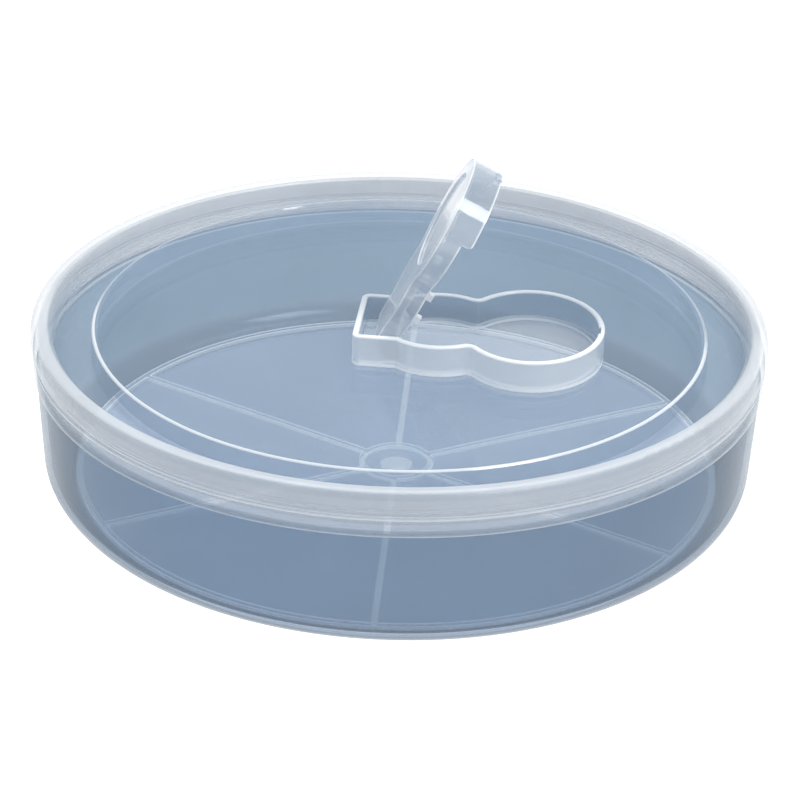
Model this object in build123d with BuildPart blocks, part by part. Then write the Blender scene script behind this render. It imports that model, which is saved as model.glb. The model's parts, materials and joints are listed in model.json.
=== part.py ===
"""Large covered petri dish with a hinged keyhole hatch in its lid.

Three polypropylene mouldings: a shallow round dish with a ribbed floor, a plug lid whose rim
straddles the dish wall, and a clear hatch that swings in a keyhole-shaped collar on the lid.
Origin: centre of the underside. +Z is up, +X runs along the keyhole from its hinge bay to its
oval end. The hatch stands open, as it rests.
"""
import math
import os

from build123d import *

os.makedirs("parts", exist_ok=True)

# ---------------------------------------------------------------- driving dimensions (mm)
# overall
lid_diameter = 150.0
overall_height = 35.8
wall = 1.3

# dish
shoulder_z = 26.4
shoulder_inset = 1.0
wall_draft = 1.1
corner_radius = 7.3
lip_clearance = 0.3
lip_top_clearance = 0.6

# floor stiffening
rib_count = 6
rib_width = 1.2
rib_height = 1.0
rib_first_angle = 92.2
floor_ring_radius = 65.7
centre_ring_diameter = 15.6
gate_pad_diameter = 6.8
gate_pad_height = 0.5

# lid rim and panel
rim_width = 4.4
bead_radius = 2.0
bead_height = 3.9
bead_overhang = 0.45
skirt_wall = 1.1
ledge_z = 30.15
ledge_step = 0.25
panel_depth = 7.0
panel_thickness = 1.2
ring_radius = 62.1
ring_width = 1.3
ring_height = 5.1
ring_edge_chamfer = 0.3

# keyhole collar
collar_height = 6.7
collar_wall = 1.25
oval_centre_x = 26.8
oval_half_length = 15.0
oval_half_width = 17.1
neck_centre_x = 8.0
neck_radius = 12.9
bay_end_x = -8.8
bay_half_width = 10.2
bay_corner_radius = 1.8
waist_radius = 1.5
collar_edge_radius = 0.4

# hinge
hinge_x = -0.8
hinge_drop = 4.1
pin_diameter = 2.0
pin_clearance = 0.06
pin_length = 1.0
pin_end_clearance = 0.15
hinge_pad_thickness = 0.6
hinge_pad_width = 3.6
cheek_radius = 2.0
open_angle = 63.4

# hatch
hatch_end_clearance = 0.35
hatch_side_clearance = 1.35
hatch_bay_clearance = 0.35
hatch_neck_x = 10.7
hatch_neck_radius = 10.4
hatch_waist_radius = 3.0
hatch_plate = 1.1
skirt_thickness = 1.0
oval_skirt_depth = 6.4
neck_skirt_depth = 4.3
lip_start_x = 29.8
lip_corner_radius = 1.1
tail_length = 1.0
tail_corner_radius = 0.6
dimple_margin = 3.2
dimple_depth = 0.5
nub_size = 1.5
nub_drop = 1.2
neck_nub = (9.1, 9.45)
waist_nub = (14.4, 8.65)
tab_proud = 0.5
tab_width = 2.6
tab_height = 1.4
tab_clearance = 0.25

# ---------------------------------------------------------------- places worked out from them
lid_radius = lid_diameter / 2
skirt_outer = lid_radius - bead_overhang
skirt_inner = skirt_outer - skirt_wall
plug_inner = lid_radius - rim_width
plug_outer = plug_inner + wall
roof_z = overall_height - wall
panel_z = overall_height - panel_depth
bead_bottom_z = overall_height - bead_height
dish_radius = lid_radius - shoulder_inset
dish_foot_radius = dish_radius - wall_draft
floor_reach = dish_foot_radius - corner_radius
lip_outer = skirt_inner - lip_clearance
lip_inner = plug_outer + lip_clearance
lip_top_z = roof_z - lip_top_clearance
collar_top_z = panel_z + collar_height
hinge_z = collar_top_z - hinge_drop
pad_inner_y = bay_half_width - collar_wall - hinge_pad_thickness
hatch_bay_half = pad_inner_y - hatch_bay_clearance
hatch_oval_length = oval_half_length - collar_wall - hatch_end_clearance
hatch_oval_width = oval_half_width - collar_wall - hatch_side_clearance

# ---------------------------------------------------------------- dish base
rib_start = centre_ring_diameter / 2 - rib_width / 2
rib_length = floor_ring_radius - rib_start
with BuildPart() as dish_base:
    # one wall section turned about the axis: floor, round corner, drafted wall, thin lip
    with BuildSketch(Plane.XZ):
        with BuildLine():
            floor_outside = Line((0, 0), (floor_reach, 0))
            RadiusArc(floor_outside @ 1, (dish_foot_radius, corner_radius), -corner_radius)
            Polyline(
                (dish_foot_radius, corner_radius),
                (dish_radius, shoulder_z),
                (lip_outer, shoulder_z),
                (lip_outer, lip_top_z),
                (lip_inner, lip_top_z),
                (lip_inner, shoulder_z),
                (dish_radius - wall, shoulder_z - wall),
                (dish_foot_radius - wall, corner_radius),
            )
            corner_inside = RadiusArc(
                (dish_foot_radius - wall, corner_radius),
                (floor_reach, wall),
                corner_radius - wall,
            )
            Polyline(corner_inside @ 1, (0, wall), (0, 0))
        make_face()
    revolve(axis=Axis.Z)
    # floor ribs between the centre ring and the outer ring
    with BuildSketch(Plane.XY.offset(wall)):
        with PolarLocations(0, rib_count, start_angle=rib_first_angle):
            with Locations((rib_start + rib_length / 2, 0)):
                Rectangle(rib_length, rib_width)
    extrude(amount=rib_height)
    with BuildSketch(Plane.XY.offset(wall)):
        Circle(floor_ring_radius + rib_width / 2)
        Circle(floor_ring_radius - rib_width / 2, mode=Mode.SUBTRACT)
        Circle(centre_ring_diameter / 2)
        Circle(centre_ring_diameter / 2 - rib_width, mode=Mode.SUBTRACT)
    extrude(amount=rib_height)
    with BuildSketch(Plane.XY.offset(wall)):
        Circle(gate_pad_diameter / 2)
    extrude(amount=gate_pad_height)
dish_base.part.label = "dish_base"


# ---------------------------------------------------------------- keyhole outlines
def keyhole(oval, neck, bay_half, bay_end, corner, waist):
    """Plan of an oval, a round neck and a square hinge bay, run together.

    oval is its half length and half width, and neck the round's centre and radius."""
    neck_x, neck_r = neck
    with BuildSketch() as plan:
        with Locations((oval_centre_x, 0)):
            Ellipse(*oval)
        with Locations((neck_x, 0)):
            Circle(neck_r)
        with Locations(((bay_end + neck_x) / 2, 0)):
            Rectangle(neck_x - bay_end, 2 * bay_half)
        ends = plan.vertices().group_by(Axis.X)[0]
        fillet(ends, corner)
        waists = plan.vertices().filter_by(
            lambda v: neck_x < v.X < oval_centre_x and abs(v.Y) > bay_half / 2
        )
        fillet(waists, waist)
    return plan.sketch


collar_plan = keyhole(
    (oval_half_length, oval_half_width),
    (neck_centre_x, neck_radius),
    bay_half_width,
    bay_end_x,
    bay_corner_radius,
    waist_radius,
)
well_plan = keyhole(
    (oval_half_length - collar_wall, oval_half_width - collar_wall),
    (neck_centre_x, neck_radius - collar_wall),
    bay_half_width - collar_wall,
    bay_end_x + collar_wall,
    bay_corner_radius - collar_wall,
    waist_radius + collar_wall,
)
hatch_plan = keyhole(
    (hatch_oval_length, hatch_oval_width),
    (hatch_neck_x, hatch_neck_radius),
    hatch_bay_half,
    hinge_x - tail_length,
    tail_corner_radius,
    hatch_waist_radius,
)
hatch_hollow_plan = keyhole(
    (hatch_oval_length - skirt_thickness, hatch_oval_width - skirt_thickness),
    (hatch_neck_x, hatch_neck_radius - skirt_thickness),
    hatch_bay_half - skirt_thickness,
    hinge_x - tail_length + skirt_thickness,
    tail_corner_radius / 2,
    hatch_waist_radius + skirt_thickness,
)

# ---------------------------------------------------------------- lid
tip_x = oval_centre_x + hatch_oval_length
tab_reach = math.hypot(tip_x + tab_proud - hinge_x, oval_skirt_depth - hinge_drop)
slot_end_x = hinge_x + tab_reach + tab_clearance
with BuildPart() as lid:
    # rim, plug wall, panel and stacking ring turned as one section
    with BuildSketch(Plane.XZ):
        with BuildLine():
            Polyline(
                (0, panel_z),
                (plug_inner, panel_z),
                (plug_inner, overall_height),
                (lid_radius, overall_height),
                (lid_radius, bead_bottom_z),
                (skirt_outer - ledge_step, bead_bottom_z - bead_overhang),
                (skirt_outer - ledge_step, ledge_z),
                (skirt_outer, ledge_z),
                (skirt_outer, shoulder_z),
                (skirt_inner, shoulder_z),
                (skirt_inner, roof_z),
                (plug_outer, roof_z),
                (plug_outer, panel_z - panel_thickness),
                (0, panel_z - panel_thickness),
                close=True,
            )
        make_face()
    revolve(axis=Axis.Z)
    fillet(lid.edges().group_by(Axis.Z)[-1], bead_radius)
    # stacking ring on the panel, with softened top corners
    with BuildSketch(Plane.XY.offset(panel_z)):
        Circle(ring_radius + ring_width / 2)
        Circle(ring_radius - ring_width / 2, mode=Mode.SUBTRACT)
    stacking_ring = extrude(amount=ring_height)
    chamfer(stacking_ring.edges().group_by(Axis.Z)[-1], ring_edge_chamfer)
    # collar wall round the keyhole
    with BuildSketch(Plane.XY.offset(panel_z)):
        add(collar_plan)
        add(well_plan, mode=Mode.SUBTRACT)
    collar = extrude(amount=collar_height)
    fillet(collar.edges().group_by(Axis.Z)[-1], collar_edge_radius)
    # hinge pads on the bay walls, then the blind holes that the hatch's pins turn in
    with BuildSketch(Plane.XY.offset(panel_z)):
        with Locations((hinge_x, 0)):
            with GridLocations(0, 2 * pad_inner_y + hinge_pad_thickness, 1, 2):
                Rectangle(hinge_pad_width, hinge_pad_thickness)
    extrude(amount=collar_height - collar_edge_radius)
    with BuildSketch(Plane.XZ):
        with Locations((hinge_x, hinge_z)):
            Circle(pin_diameter / 2 + pin_clearance)
    extrude(
        amount=hatch_bay_half + pin_length + pin_end_clearance,
        both=True,
        mode=Mode.SUBTRACT,
    )
    # slot in the collar's tip wall that the hatch's snap tab passes down
    with BuildSketch(Plane.XY.offset(collar_top_z)):
        with Locations(((oval_centre_x + slot_end_x) / 2, 0)):
            Rectangle(slot_end_x - oval_centre_x, tab_width + 2 * tab_clearance)
    extrude(amount=-collar_height, mode=Mode.SUBTRACT)
lid.part.label = "lid"

# ---------------------------------------------------------------- hatch
# modelled shut in a frame hung on the hinge axis, which open_angle tips up
swing = math.radians(open_angle)
hinge_frame = Plane(
    origin=(hinge_x, 0, hinge_z),
    x_dir=(math.cos(swing), 0, math.sin(swing)),
    z_dir=(-math.sin(swing), 0, math.cos(swing)),
)
side_frame = Plane(origin=hinge_frame.origin, x_dir=hinge_frame.x_dir, z_dir=(0, -1, 0))
shut_shift = Location((-hinge_x, 0, 0))
plate_top = hinge_frame.offset(hinge_drop)
neck_z = hinge_drop - neck_skirt_depth
lip_z = hinge_drop - oval_skirt_depth
lip_start = lip_start_x - hinge_x
with BuildPart() as hatch:
    # plate with a skirt all round
    with BuildSketch(plate_top):
        add(hatch_plan.moved(shut_shift))
    extrude(amount=-oval_skirt_depth)
    with BuildSketch(plate_top.offset(-hatch_plate)):
        add(hatch_hollow_plan.moved(shut_shift))
    extrude(amount=hatch_plate - oval_skirt_depth, mode=Mode.SUBTRACT)
    # the skirt is shallower from the lip back, and the lip starts with a round corner
    with BuildSketch(side_frame):
        with BuildLine():
            RadiusArc(
                (lip_start, lip_z + lip_corner_radius),
                (lip_start + lip_corner_radius, lip_z),
                -lip_corner_radius,
            )
            Polyline(
                (lip_start + lip_corner_radius, lip_z),
                (lip_start + lip_corner_radius, lip_z - wall),
                (-oval_skirt_depth, lip_z - wall),
                (-oval_skirt_depth, neck_z),
                (lip_start, neck_z),
                (lip_start, lip_z + lip_corner_radius),
            )
        make_face()
    extrude(amount=oval_half_width, both=True, mode=Mode.SUBTRACT)
    # two nubs under each side of the skirt, at the neck and at the waist
    with BuildSketch(hinge_frame.offset(neck_z + wall)):
        with Locations(
            *[(x - hinge_x, side * y) for x, y in (neck_nub, waist_nub) for side in (-1, 1)]
        ):
            Rectangle(nub_size, nub_size)
    extrude(amount=-nub_drop - wall)
    # snap tab at the tip
    with BuildSketch(plate_top.offset(-oval_skirt_depth)):
        with Locations((tip_x - hinge_x + tab_proud - skirt_thickness, 0)):
            Rectangle(2 * skirt_thickness, tab_width)
    extrude(amount=tab_height)
    # shallow oval recess in the top
    with BuildSketch(plate_top):
        with Locations((oval_centre_x - hinge_x, 0)):
            Ellipse(hatch_oval_length - dimple_margin, hatch_oval_width - dimple_margin)
    extrude(amount=-dimple_depth, mode=Mode.SUBTRACT)
    # round cheeks at the ends of the hinge, with the pins run through as one rod
    for side in (-1, 1):
        with BuildSketch(side_frame.offset(side * (hatch_bay_half - skirt_thickness / 2))):
            Circle(cheek_radius)
        extrude(amount=skirt_thickness / 2, both=True)
    with BuildSketch(side_frame):
        Circle(pin_diameter / 2)
    extrude(amount=hatch_bay_half + pin_length, both=True)
hatch.part.label = "hatch"

export_step(dish_base.part, "parts/dish_base.step")
export_step(lid.part, "parts/lid.step")
export_step(hatch.part, "parts/hatch.step")
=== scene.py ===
"""A large milky petri dish with a plug lid and a clear hinged hatch, dressed for a studio view.

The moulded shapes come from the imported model. This script gives each moulding its plastic,
and sets the floor, the lights and the camera.
"""
import json
import math

import bpy
from mathutils import Matrix, Quaternion, Vector

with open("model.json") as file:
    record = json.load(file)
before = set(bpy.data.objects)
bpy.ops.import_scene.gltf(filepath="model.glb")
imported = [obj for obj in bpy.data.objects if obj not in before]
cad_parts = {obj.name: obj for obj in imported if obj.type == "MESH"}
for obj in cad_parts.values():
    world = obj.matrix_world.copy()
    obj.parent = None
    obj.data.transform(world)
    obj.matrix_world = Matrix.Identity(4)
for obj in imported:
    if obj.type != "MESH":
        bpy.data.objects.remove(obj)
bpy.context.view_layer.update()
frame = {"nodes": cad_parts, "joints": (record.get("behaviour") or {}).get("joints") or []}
scene = bpy.context.scene
bpy.ops.object.select_all(action="DESELECT")


# ---------------------------------------------------------------- camera
# A long lens looks down on the dish from the front, a few degrees round from the hatch's
# hinge axis. It aims at a point just above the dish's floor.
CAMERA_AIM = Vector((0.0, 0.0, 0.015))
CAMERA_DISTANCE = 0.66857
CAMERA_ELEVATION = math.radians(27.57)
CAMERA_AZIMUTH = math.radians(5.25)
CAMERA_ROLL = math.radians(1.51)
CAMERA_LENS = 145.54
CAMERA_SHIFT = (0.0029, 0.0074)
CAMERA_CLIP_START = 0.01
level = math.cos(CAMERA_ELEVATION)
towards_camera = Vector(
    (
        level * math.sin(CAMERA_AZIMUTH),
        -level * math.cos(CAMERA_AZIMUTH),
        math.sin(CAMERA_ELEVATION),
    )
)
camera = bpy.data.objects.new("studio_camera", bpy.data.cameras.new("studio_camera"))
scene.collection.objects.link(camera)
camera.data.lens = CAMERA_LENS
camera.data.shift_x, camera.data.shift_y = CAMERA_SHIFT
camera.data.clip_start = CAMERA_CLIP_START
camera.location = CAMERA_AIM + towards_camera * CAMERA_DISTANCE
upright = (-towards_camera).to_track_quat("-Z", "Y")
camera.rotation_mode = "QUATERNION"
camera.rotation_quaternion = upright @ Quaternion((0.0, 0.0, 1.0), CAMERA_ROLL)
scene.camera = camera


# ---------------------------------------------------------------- floor and light
# A plain white floor that runs out of sight in a white room. The room lights the dish with
# a dimmer, cooler grey than it shows, and two softboxes give the glints.
class Wire:
    """One output in a node tree. Sums and products of wires add the Math nodes for them."""

    def __init__(self, tree, output=None):
        self.tree = tree
        self.output = output

    def node(self, kind, settings=None, sockets=None, take=0):
        """Makes a node with its settings, then its socket values or wires; gives one output."""
        made = self.tree.nodes.new("ShaderNode" + kind)
        for name, value in (settings or {}).items():
            setattr(made, name, value)
        for name, value in (sockets or {}).items():
            if isinstance(value, Wire):
                self.tree.links.new(value.output, made.inputs[name])
            else:
                made.inputs[name].default_value = value
        return Wire(self.tree, made.outputs[take]) if made.outputs else None

    def _math(self, operation, first, second):
        return self.node("Math", {"operation": operation}, {0: first, 1: second})

    def __add__(self, other):
        return self._math("ADD", self, other)

    def __radd__(self, other):
        return self._math("ADD", other, self)

    def __sub__(self, other):
        return self._math("SUBTRACT", self, other)

    def __rsub__(self, other):
        return self._math("SUBTRACT", other, self)

    def __mul__(self, other):
        return self._math("MULTIPLY", self, other)

    def __rmul__(self, other):
        return self._math("MULTIPLY", other, self)

    def __pow__(self, other):
        return self._math("POWER", self, other)


WHITE = (1.0, 1.0, 1.0, 1.0)
PAPER_WHITE = (0.9, 0.9, 0.9, 1.0)
PAPER_GLOW = 0.55
BARE_PAPER_GLOW = 1.3
FLOOR_SIZE = 8.0
FOOTPRINT_EDGE = (0.0655, 0.0675)
ROOM_LIGHT = (0.60, 0.64, 0.69, 1.0)


def above(start, value, low, high):
    """0 where value is under low, 1 over high, and smooth between."""
    return start.node(
        "MapRange",
        {"interpolation_type": "SMOOTHSTEP"},
        {"Value": value, "From Min": low, "From Max": high},
    )


def blend_colour(start, factor, first, second):
    """One colour into another."""
    return start.node("Mix", {"data_type": "RGBA"}, {"Factor": factor, 6: first, 7: second}, take=2)


bpy.ops.mesh.primitive_plane_add(size=FLOOR_SIZE)
floor = bpy.context.object
floor.name = "studio_floor"
floor_paper = bpy.data.materials.new("white_paper")
floor_paper.use_nodes = True
floor_paper.node_tree.nodes.clear()
start = Wire(floor_paper.node_tree)
paper = start.node("BsdfDiffuse", None, {"Color": PAPER_WHITE})
glow = start.node("Emission", None, {"Color": WHITE, "Strength": PAPER_GLOW})
shaded = start.node("AddShader", None, {0: paper, 1: glow})
# Past the dish's footprint the paper glows evenly, so no shadow rings the dish.
bare = start.node("Emission", None, {"Color": WHITE, "Strength": BARE_PAPER_GLOW})
place = start.node("TexCoord", None, None, take="Object")
reach = start.node("VectorMath", {"operation": "LENGTH"}, {0: place}, take="Value")
past_dish = above(start, reach, *FOOTPRINT_EDGE)
whole = start.node("MixShader", None, {0: past_dish, 1: shaded, 2: bare})
start.node("OutputMaterial", None, {"Surface": whole})
floor.data.materials.append(floor_paper)

room = bpy.data.worlds.new("white_room")
room.use_nodes = True
room.node_tree.nodes.clear()
start = Wire(room.node_tree)
seen = start.node("LightPath", None, None, take="Is Camera Ray")
tone = blend_colour(start, seen, ROOM_LIGHT, WHITE)
backdrop = start.node("Background", None, {"Color": tone, "Strength": 1.0})
start.node("OutputWorld", None, {"Surface": backdrop})
scene.world = room
scene.view_settings.view_transform = "Standard"
scene.cycles.max_bounces = 16
scene.cycles.transparent_max_bounces = 32


def softbox(name, place, size, power):
    """A soft rectangular light that faces the dish."""
    lamp = bpy.data.lights.new(name, "AREA")
    lamp.shape = "RECTANGLE"
    lamp.size, lamp.size_y = size
    lamp.energy = power
    holder = bpy.data.objects.new(name, lamp)
    scene.collection.objects.link(holder)
    holder.location = place
    holder.rotation_euler = (-Vector(place)).to_track_quat("-Z", "Y").to_euler()


softbox("overhead_softbox", place=(0.0, 0.35, 0.9), size=(0.8, 0.4), power=4.0)
softbox("front_softbox", place=(0.457, -0.288, 0.748), size=(0.3, 0.3), power=2.7)


# ---------------------------------------------------------------- dish base
# The shallow dish, moulded in milky polypropylene through the gate at its middle. The walls
# are thin enough to see through. Its ribs are painted paler, the edges of its ribs and floor
# rings carry a painted highlight and glow, and its foot is tinted darker as painted shade.
MM = 0.001
DARK = (0.0, 0.0, 0.0, 1.0)
PLASTIC_IOR = 1.49
FACE_ON_SHINE = 0.035
SHINE_FALLOFF = 5.0
EDGE_FALLOFF = 3.0
CLOUD_SCALE = 28.0
CLOUD_DETAIL = 3.0
CLOUD_MIDDLE = 0.5


def plastic(name):
    """An empty material, with wires for the place on the piece and for the slope of the view
    to the surface, from 0 face on to 1 edge on."""
    material = bpy.data.materials.new(name)
    material.use_nodes = True
    material.node_tree.nodes.clear()
    start = Wire(material.node_tree)
    place = start.node("TexCoord", None, None, take="Object")
    slope = start.node("LayerWeight", None, {"Blend": 0.5}, take="Facing")
    return material, start, place, slope


def coordinate(start, place, axis):
    """How far a place lies along X, Y or Z, in millimetres."""
    return start.node("SeparateXYZ", None, {0: place}, take=axis) * (1 / MM)


def radius_of(start, place):
    """How far a place lies from the dish's upright axis, in millimetres."""
    flat = start.node("VectorMath", {"operation": "MULTIPLY"}, {0: place, 1: (1.0, 1.0, 0.0)})
    return start.node("VectorMath", {"operation": "LENGTH"}, {0: flat}, take="Value") * (1 / MM)


def below(start, value, low, high):
    """1 where value is under low, 0 over high, and smooth between."""
    return 1.0 - above(start, value, low, high)


def haze(start, place, amount):
    """The cloudiness of milky plastic, as a small change from place to place."""
    cloud = start.node(
        "TexNoise",
        None,
        {"Vector": place, "Scale": CLOUD_SCALE, "Detail": CLOUD_DETAIL},
        take="Fac",
    )
    return (cloud - CLOUD_MIDDLE) * amount


def see_through(start, mask, first, second):
    """Tinted see-through that turns from one tint, or one such shader, to another."""
    ends = [
        end if isinstance(end, Wire) else start.node("BsdfTransparent", None, {"Color": end})
        for end in (first, second)
    ]
    return start.node("MixShader", None, {0: mask, 1: ends[0], 2: ends[1]})


def mould(start, slope, milk, milk_colour, clear, roughness, polish, edge_shine, glow=DARK):
    """The plastic's milky body over its tinted see-through, under a clear surface shine."""
    body = start.node(
        "BsdfPrincipled",
        None,
        {
            "Base Color": milk_colour,
            "Roughness": roughness,
            "IOR": PLASTIC_IOR,
            "Emission Color": glow,
            "Emission Strength": 1.0,
        },
    )
    wall_shader = start.node("MixShader", None, {0: milk, 1: clear, 2: body})
    shine = start.node("BsdfGlossy", None, {"Color": WHITE, "Roughness": polish})
    share = slope**SHINE_FALLOFF * edge_shine + FACE_ON_SHINE
    surface = start.node("MixShader", None, {0: share, 1: wall_shader, 2: shine})
    start.node("OutputMaterial", None, {"Surface": surface})


def dress(node, material):
    """Gives a moulding from the model its plastic."""
    node.data.materials.clear()
    node.data.materials.append(material)


DISH_WALL_TINT = (0.555, 0.63, 0.70, 1.0)
DISH_FLOOR_TINT = (0.745, 0.80, 0.875, 1.0)
DISH_FOOT_SHADE_TINT = (0.49, 0.545, 0.61, 1.0)
DISH_LIP_TINT = (0.91, 0.918, 0.926, 1.0)
# The ribs' clearer tint and their glow colour are painted highlight.
DISH_RIB_HIGHLIGHT_TINT = (0.99, 0.992, 0.995, 1.0)
DISH_RIB_PAINTED_GLOW = (0.96, 0.97, 1.0, 1.0)
DISH_DEEP = (0.20, 0.25, 0.30, 1.0)
DISH_PALE = (0.86, 0.88, 0.89, 1.0)
DISH_ROUGHNESS = 0.3
DISH_POLISH = 0.15
DISH_EDGE_SHINE = 0.25
# Where one zone of the dish starts to turn into the next and where it has, in millimetres
# above its underside, or out from its axis for the last three.
RIB_FOOT = (1.35, 1.45)
RIB_EDGE = (1.9, 2.1)
RIB_FLAT_TOP = (2.27, 2.29)
RIB_OVER = (2.35, 2.4)
WALL_START = (2.5, 7.0)
FOOT_OVER = (3.0, 7.0)
LIP_START = (26.3, 26.6)
FLOOR_RING_INSIDE = (64.6, 64.9)
FLOOR_RING_OUTSIDE = (66.4, 66.6)
FOOT_START = (66.3, 66.8)
# How milky each zone is, from 0 see-through to 1 solid, and how much of the painted glow it gets.
DISH_MILK = 0.05
DISH_EDGE_ON_MILK = 0.45
FOOT_EDGE_ON_SHADE_MILK = 0.35
RIB_HIGHLIGHT_MILK = 0.10
RIB_EDGE_HIGHLIGHT_MILK = 0.4
RING_EDGE_HIGHLIGHT_MILK = 0.1
LIP_MILK = 0.04
DISH_CLOUDINESS = 0.16
RIB_PAINTED_GLOW = 0.25
RIB_EDGE_PAINTED_GLOW = 0.4
RING_EDGE_PAINTED_GLOW = 0.1
dish_plastic, start, place, slope = plastic("milky_dish_plastic")
height = coordinate(start, place, "Z")
radius = radius_of(start, place)
ribs = above(start, height, *RIB_FOOT) * below(start, height, *RIB_OVER)
ribs = ribs * below(start, radius, *FLOOR_RING_OUTSIDE)
# The edges of the ribs and of the floor ring carry a painted highlight.
rib_edge_highlight = ribs * above(start, height, *RIB_EDGE) * below(start, height, *RIB_FLAT_TOP)
ring_edge_highlight = rib_edge_highlight * above(start, radius, *FLOOR_RING_INSIDE)
foot = above(start, radius, *FOOT_START) * below(start, height, *FOOT_OVER)
lip = above(start, height, *LIP_START)
# At the foot the dark edge-on milk is stronger: painted shade.
milk = slope**EDGE_FALLOFF * (foot * FOOT_EDGE_ON_SHADE_MILK + DISH_EDGE_ON_MILK) + DISH_MILK
# The ribs and their edges are painted milkier and paler as highlights.
milk = milk + ribs * RIB_HIGHLIGHT_MILK + rib_edge_highlight * RIB_EDGE_HIGHLIGHT_MILK + ring_edge_highlight * RING_EDGE_HIGHLIGHT_MILK
milk = milk + lip * LIP_MILK + haze(start, place, DISH_CLOUDINESS)
clear = see_through(start, above(start, height, *WALL_START), DISH_FLOOR_TINT, DISH_WALL_TINT)
# The curved foot is tinted darker, as painted shade where the dish meets the paper.
clear = see_through(start, foot, clear, DISH_FOOT_SHADE_TINT)
clear = see_through(start, ribs, clear, DISH_RIB_HIGHLIGHT_TINT)
clear = see_through(start, lip, clear, DISH_LIP_TINT)
# A painted glow on the ribs and their edges, though they are no lamp.
painted_rib_glow = ribs * RIB_PAINTED_GLOW + rib_edge_highlight * RIB_EDGE_PAINTED_GLOW + ring_edge_highlight * RING_EDGE_PAINTED_GLOW
mould(
    start,
    slope,
    milk=milk,
    milk_colour=blend_colour(start, ribs + lip, DISH_DEEP, DISH_PALE),
    clear=clear,
    roughness=DISH_ROUGHNESS,
    polish=DISH_POLISH,
    edge_shine=DISH_EDGE_SHINE,
    glow=blend_colour(start, painted_rib_glow, DARK, DISH_RIB_PAINTED_GLOW),
)
dress(frame["nodes"]["dish_base"], dish_plastic)


# ---------------------------------------------------------------- lid
# The plug lid, moulded in the same plastic as the dish, with a polished panel. It sits on the
# dish's lip. Its rim's crest, ledge and foot and the tops of its ring and collar carry painted
# highlights that make them look white, and the collar's foot is painted pale as a highlight.
LID_TINT = (0.80, 0.835, 0.865, 1.0)
LID_BORDER_TINT = (0.93, 0.95, 0.965, 1.0)
RIM_TINT = (0.905, 0.912, 0.92, 1.0)
UPSTAND_TINT = (0.95, 0.96, 0.975, 1.0)
WELL_WALL_TINT = (0.78, 0.805, 0.83, 1.0)
WELL_FLOOR_TINT = (0.86, 0.885, 0.905, 1.0)
LID_DEEP = (0.42, 0.52, 0.62, 1.0)
LID_PALE = (0.95, 0.96, 0.96, 1.0)
LID_ROUGHNESS = 0.3
PANEL_POLISH = 0.05
RIM_DULLNESS = 0.3
LID_EDGE_SHINE = 0.3
# Where one zone of the lid starts to turn into the next and where it has, in millimetres:
# above the dish's underside, then out from its axis, and last towards the back.
SKIRT_FOOT = (26.5, 26.9)
LEDGE_UNDER = (29.7, 29.95)
LEDGE_OVER = (30.2, 30.3)
BAND_START = (30.2, 31.0)
CREST_START = (35.2, 35.7)
WELL_FLOOR_OVER = (28.82, 28.9)
PANEL_OVER = (28.85, 29.0)
COLLAR_FOOT_OVER = (29.5, 29.8)
COLLAR_TOP_START = (34.9, 35.3)
RING_TOP_START = (33.5, 33.8)
RING_TOP_OVER = (34.1, 34.3)
RING_MIDDLE = (61.9, 62.1)
BORDER_START = (62.0, 63.5)
RIM_START = (70.2, 70.7)
COLLAR_REACH = (44.0, 45.0)
FRONT_TO_BACK = (-8.0, 8.0)
# The outline of the well, along the middle of the collar's wall: an oval, a round neck and a
# square bay.
OVAL_CENTRE = 26.8
OVAL_HALF_LENGTH = 14.4
OVAL_HALF_WIDTH = 16.5
OVAL_EDGE = (0.99, 1.01)
NECK_CENTRE = 8.0
NECK_EDGE_SQUARED = (150.0, 153.0)
BAY_END = (-8.3, -8.1)
BAY_MOUTH = (8.0, 8.2)
BAY_SIDE = (9.5, 9.7)
# How milky each zone is, from 0 see-through to 1 solid.
LID_MILK = 0.04
LID_EDGE_ON_MILK = 0.25
RIM_MILK = 0.02
BAND_MILK = 0.07
PAINTED_HIGHLIGHT_MILK = 0.6
COLLAR_FRONT_LIGHT_MILK = 0.30
COLLAR_FOOT_HIGHLIGHT_MILK = 0.55
WELL_FLOOR_MILK = 0.08
LID_CLOUDINESS = 0.12
# How bright each painted edge highlight is, and how pale or glowing the other zones are; the
# collar front's paleness and glow are painted light.
COLLAR_TOP_PAINTED_HIGHLIGHT = 0.85
RING_TOP_PAINTED_HIGHLIGHT = 0.5
RING_TOP_FRONT_PAINTED_HIGHLIGHT = 0.6
CREST_PAINTED_HIGHLIGHT = 0.15
CREST_FRONT_PAINTED_HIGHLIGHT = 0.35
LEDGE_PAINTED_HIGHLIGHT = 0.55
SKIRT_FOOT_PAINTED_HIGHLIGHT = 0.35
RIM_PALE = 0.3
BAND_PALE = 0.4
COLLAR_FRONT_PAINTED_LIGHT = 0.8
WELL_FLOOR_PALE = 0.9
COLLAR_FRONT_PAINTED_GLOW = 0.14
lid_plastic, start, place, slope = plastic("milky_lid_plastic")
along = coordinate(start, place, "X")
depth = coordinate(start, place, "Y")
height = coordinate(start, place, "Z")
radius = radius_of(start, place)
across = start.node("Math", {"operation": "ABSOLUTE"}, {0: depth})
from_oval = along - OVAL_CENTRE
from_neck = along - NECK_CENTRE
oval = from_oval * from_oval * (1 / OVAL_HALF_LENGTH**2) + depth * depth * (1 / OVAL_HALF_WIDTH**2)
neck = from_neck * from_neck + depth * depth
bay = above(start, along, *BAY_END) * below(start, along, *BAY_MOUTH)
bay = bay * below(start, across, *BAY_SIDE)
well = bay + below(start, oval, *OVAL_EDGE) + below(start, neck, *NECK_EDGE_SQUARED)
well = start.node("Math", {"operation": "MINIMUM"}, {0: well, 1: 1.0})
well_floor = well * below(start, height, *WELL_FLOOR_OVER)
rim = above(start, radius, *RIM_START)
inside_rim = 1.0 - rim
upstands = above(start, height, *PANEL_OVER) * inside_rim
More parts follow.
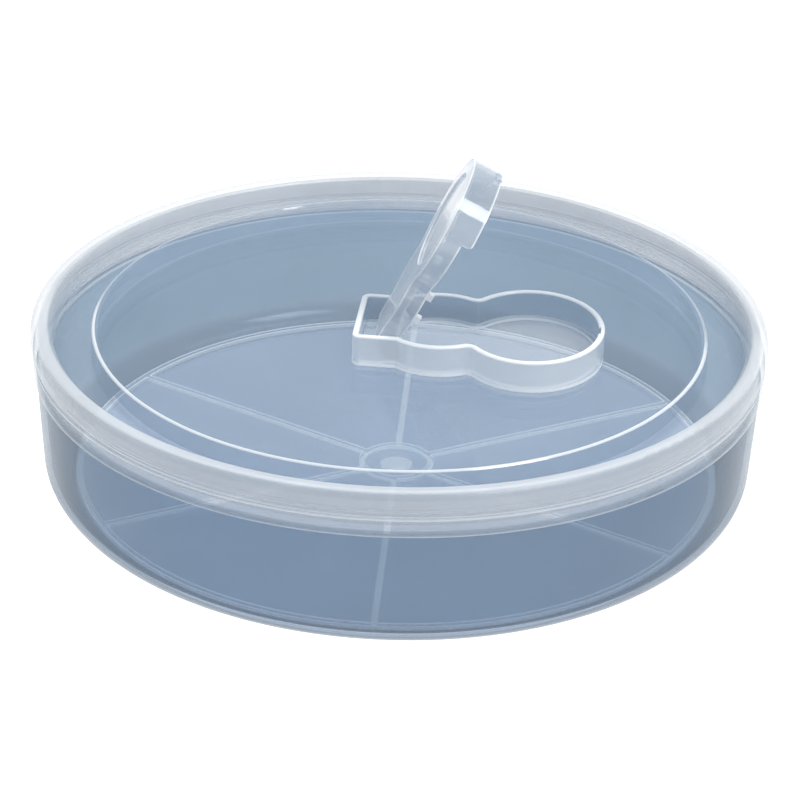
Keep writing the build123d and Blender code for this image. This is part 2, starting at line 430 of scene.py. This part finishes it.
ring_top = above(start, height, *RING_TOP_START) * below(start, height, *RING_TOP_OVER)
ring_top = ring_top * above(start, radius, *RING_MIDDLE) * inside_rim
collar_top = above(start, height, *COLLAR_TOP_START) * inside_rim
collar = upstands * below(start, radius, *COLLAR_REACH)
# The collar's foot is painted pale and milky: a painted highlight along its fillet.
collar_foot_highlight = collar * below(start, height, *COLLAR_FOOT_OVER)
# The front of the lid, towards -Y, is painted paler than its back: painted light on the
# ring's top, the rim's crest and the collar, with a painted glow on the collar's front.
painted_front_light = below(start, depth, *FRONT_TO_BACK)
# The collar's front is painted paler and milkier, with a painted glow: painted light.
collar_painted_light = collar * painted_front_light
ledge = rim * above(start, height, *LEDGE_UNDER) * below(start, height, *LEDGE_OVER)
band = rim * above(start, height, *BAND_START)
skirt_foot = rim * below(start, height, *SKIRT_FOOT)
crest = rim * above(start, height, *CREST_START)
# Painted highlights on the ring's top, the rim's crest, the collar's top, the rim's ledge and the
# skirt's foot.
painted_highlight = ring_top * (painted_front_light * RING_TOP_FRONT_PAINTED_HIGHLIGHT + RING_TOP_PAINTED_HIGHLIGHT)
painted_highlight = painted_highlight + crest * (painted_front_light * CREST_FRONT_PAINTED_HIGHLIGHT + CREST_PAINTED_HIGHLIGHT)
painted_highlight = painted_highlight + collar_top * COLLAR_TOP_PAINTED_HIGHLIGHT + ledge * LEDGE_PAINTED_HIGHLIGHT
painted_highlight = painted_highlight + skirt_foot * SKIRT_FOOT_PAINTED_HIGHLIGHT
milk = slope**EDGE_FALLOFF * LID_EDGE_ON_MILK + LID_MILK + rim * RIM_MILK + band * BAND_MILK
milk = milk + painted_highlight * PAINTED_HIGHLIGHT_MILK + collar_painted_light * COLLAR_FRONT_LIGHT_MILK
milk = milk + collar_foot_highlight * COLLAR_FOOT_HIGHLIGHT_MILK + well_floor * WELL_FLOOR_MILK
milk = milk + haze(start, place, LID_CLOUDINESS)
pale = painted_highlight + rim * RIM_PALE + band * BAND_PALE + collar_painted_light * COLLAR_FRONT_PAINTED_LIGHT
pale = pale + collar_foot_highlight + well_floor * WELL_FLOOR_PALE
clear = see_through(start, above(start, radius, *BORDER_START), LID_TINT, LID_BORDER_TINT)
clear = see_through(start, rim, clear, RIM_TINT)
clear = see_through(start, upstands, clear, UPSTAND_TINT)
clear = see_through(start, upstands * well, clear, WELL_WALL_TINT)
clear = see_through(start, well_floor, clear, WELL_FLOOR_TINT)
mould(
    start,
    slope,
    milk=milk,
    milk_colour=blend_colour(start, pale, LID_DEEP, LID_PALE),
    clear=clear,
    roughness=LID_ROUGHNESS,
    polish=rim * RIM_DULLNESS + PANEL_POLISH,
    edge_shine=LID_EDGE_SHINE,
    # The collar's front glows though it is no lamp: a painted glow.
    glow=blend_colour(start, collar_painted_light * COLLAR_FRONT_PAINTED_GLOW, DARK, LID_PALE),
)
dress(frame["nodes"]["lid"], lid_plastic)


# ---------------------------------------------------------------- hatch
# The hatch, moulded in a clearer plastic than the rest and polished all over. It turns on its
# own pins in the collar's bay. Its skirt's bottom edges and its plate's rim carry painted
# highlights.
HATCH_TINT = (0.90, 0.92, 0.94, 1.0)
HATCH_PLATE_TINT = (0.84, 0.87, 0.90, 1.0)
HATCH_TIP_TINT = (0.70, 0.75, 0.80, 1.0)
HATCH_DEEP = (0.60, 0.66, 0.72, 1.0)
HATCH_PALE = (0.96, 0.97, 0.98, 1.0)
HATCH_ROUGHNESS = 0.15
HATCH_POLISH = 0.03
HATCH_EDGE_SHINE = 0.3
# Where one zone of the hatch starts to turn into the next and where it has, in millimetres
# above the hinge with the hatch shut, or along from the hinge for the last two.
HATCH_TOP = 4.1
LIP_EDGE_OVER = (-2.15, -1.85)
NECK_EDGE_OVER = (-0.05, 0.25)
PLATE_START = (HATCH_TOP - 1.3, HATCH_TOP - 1.0)
PLATE_EDGE_START = (HATCH_TOP - 0.5, HATCH_TOP - 0.2)
PLATE_EDGE_OVER = (HATCH_TOP - 0.03, HATCH_TOP - 0.01)
NECK_END = (30.2, 30.5)
TIP_START = (33.0, 39.0)
# How milky and how pale each zone is.
HATCH_MILK = 0.30
HATCH_EDGE_ON_MILK = 0.3
HATCH_PAINTED_HIGHLIGHT_MILK = 0.45
TIP_CLEARER = 0.1
HATCH_PALENESS = 0.45
HATCH_EDGE_ON_PALENESS = 0.6
HATCH_EDGE_FALLOFF = 2.0
hinge = next(joint for joint in frame["joints"] if joint["name"] == "hatch_hinge")
shutting_angle = -math.radians(hinge["range_deg"][0])
shut = Matrix.Rotation(shutting_angle, 3, "Y")
hatch_plastic, start, place, slope = plastic("clear_hatch_plastic")
shut_place = start.node(
    "Mapping",
    {"vector_type": "POINT"},
    {
        "Vector": place,
        "Location": -(shut @ Vector(hinge["pos_m"])),
        "Rotation": (0.0, shutting_angle, 0.0),
    },
)
along = coordinate(start, shut_place, "X")
proud = coordinate(start, shut_place, "Z")
lip_edge = below(start, proud, *LIP_EDGE_OVER)
neck_edge = below(start, proud, *NECK_EDGE_OVER) * below(start, along, *NECK_END)
plate = above(start, proud, *PLATE_START)
plate_edge = above(start, proud, *PLATE_EDGE_START) * below(start, proud, *PLATE_EDGE_OVER)
tip = above(start, along, *TIP_START)
# Painted highlights on the skirt's bottom edges and the plate's rim.
painted_highlight = lip_edge + neck_edge + plate_edge
edge_on = slope**HATCH_EDGE_FALLOFF
milk = edge_on * HATCH_EDGE_ON_MILK + HATCH_MILK - tip * TIP_CLEARER
pale = edge_on * HATCH_EDGE_ON_PALENESS + painted_highlight + HATCH_PALENESS
clear = see_through(start, plate, HATCH_TINT, HATCH_PLATE_TINT)
mould(
    start,
    slope,
    milk=milk + painted_highlight * HATCH_PAINTED_HIGHLIGHT_MILK,
    milk_colour=blend_colour(start, pale, HATCH_DEEP, HATCH_PALE),
    clear=see_through(start, tip, clear, HATCH_TIP_TINT),
    roughness=HATCH_ROUGHNESS,
    polish=HATCH_POLISH,
    edge_shine=HATCH_EDGE_SHINE,
)
dress(frame["nodes"]["hatch"], hatch_plastic)
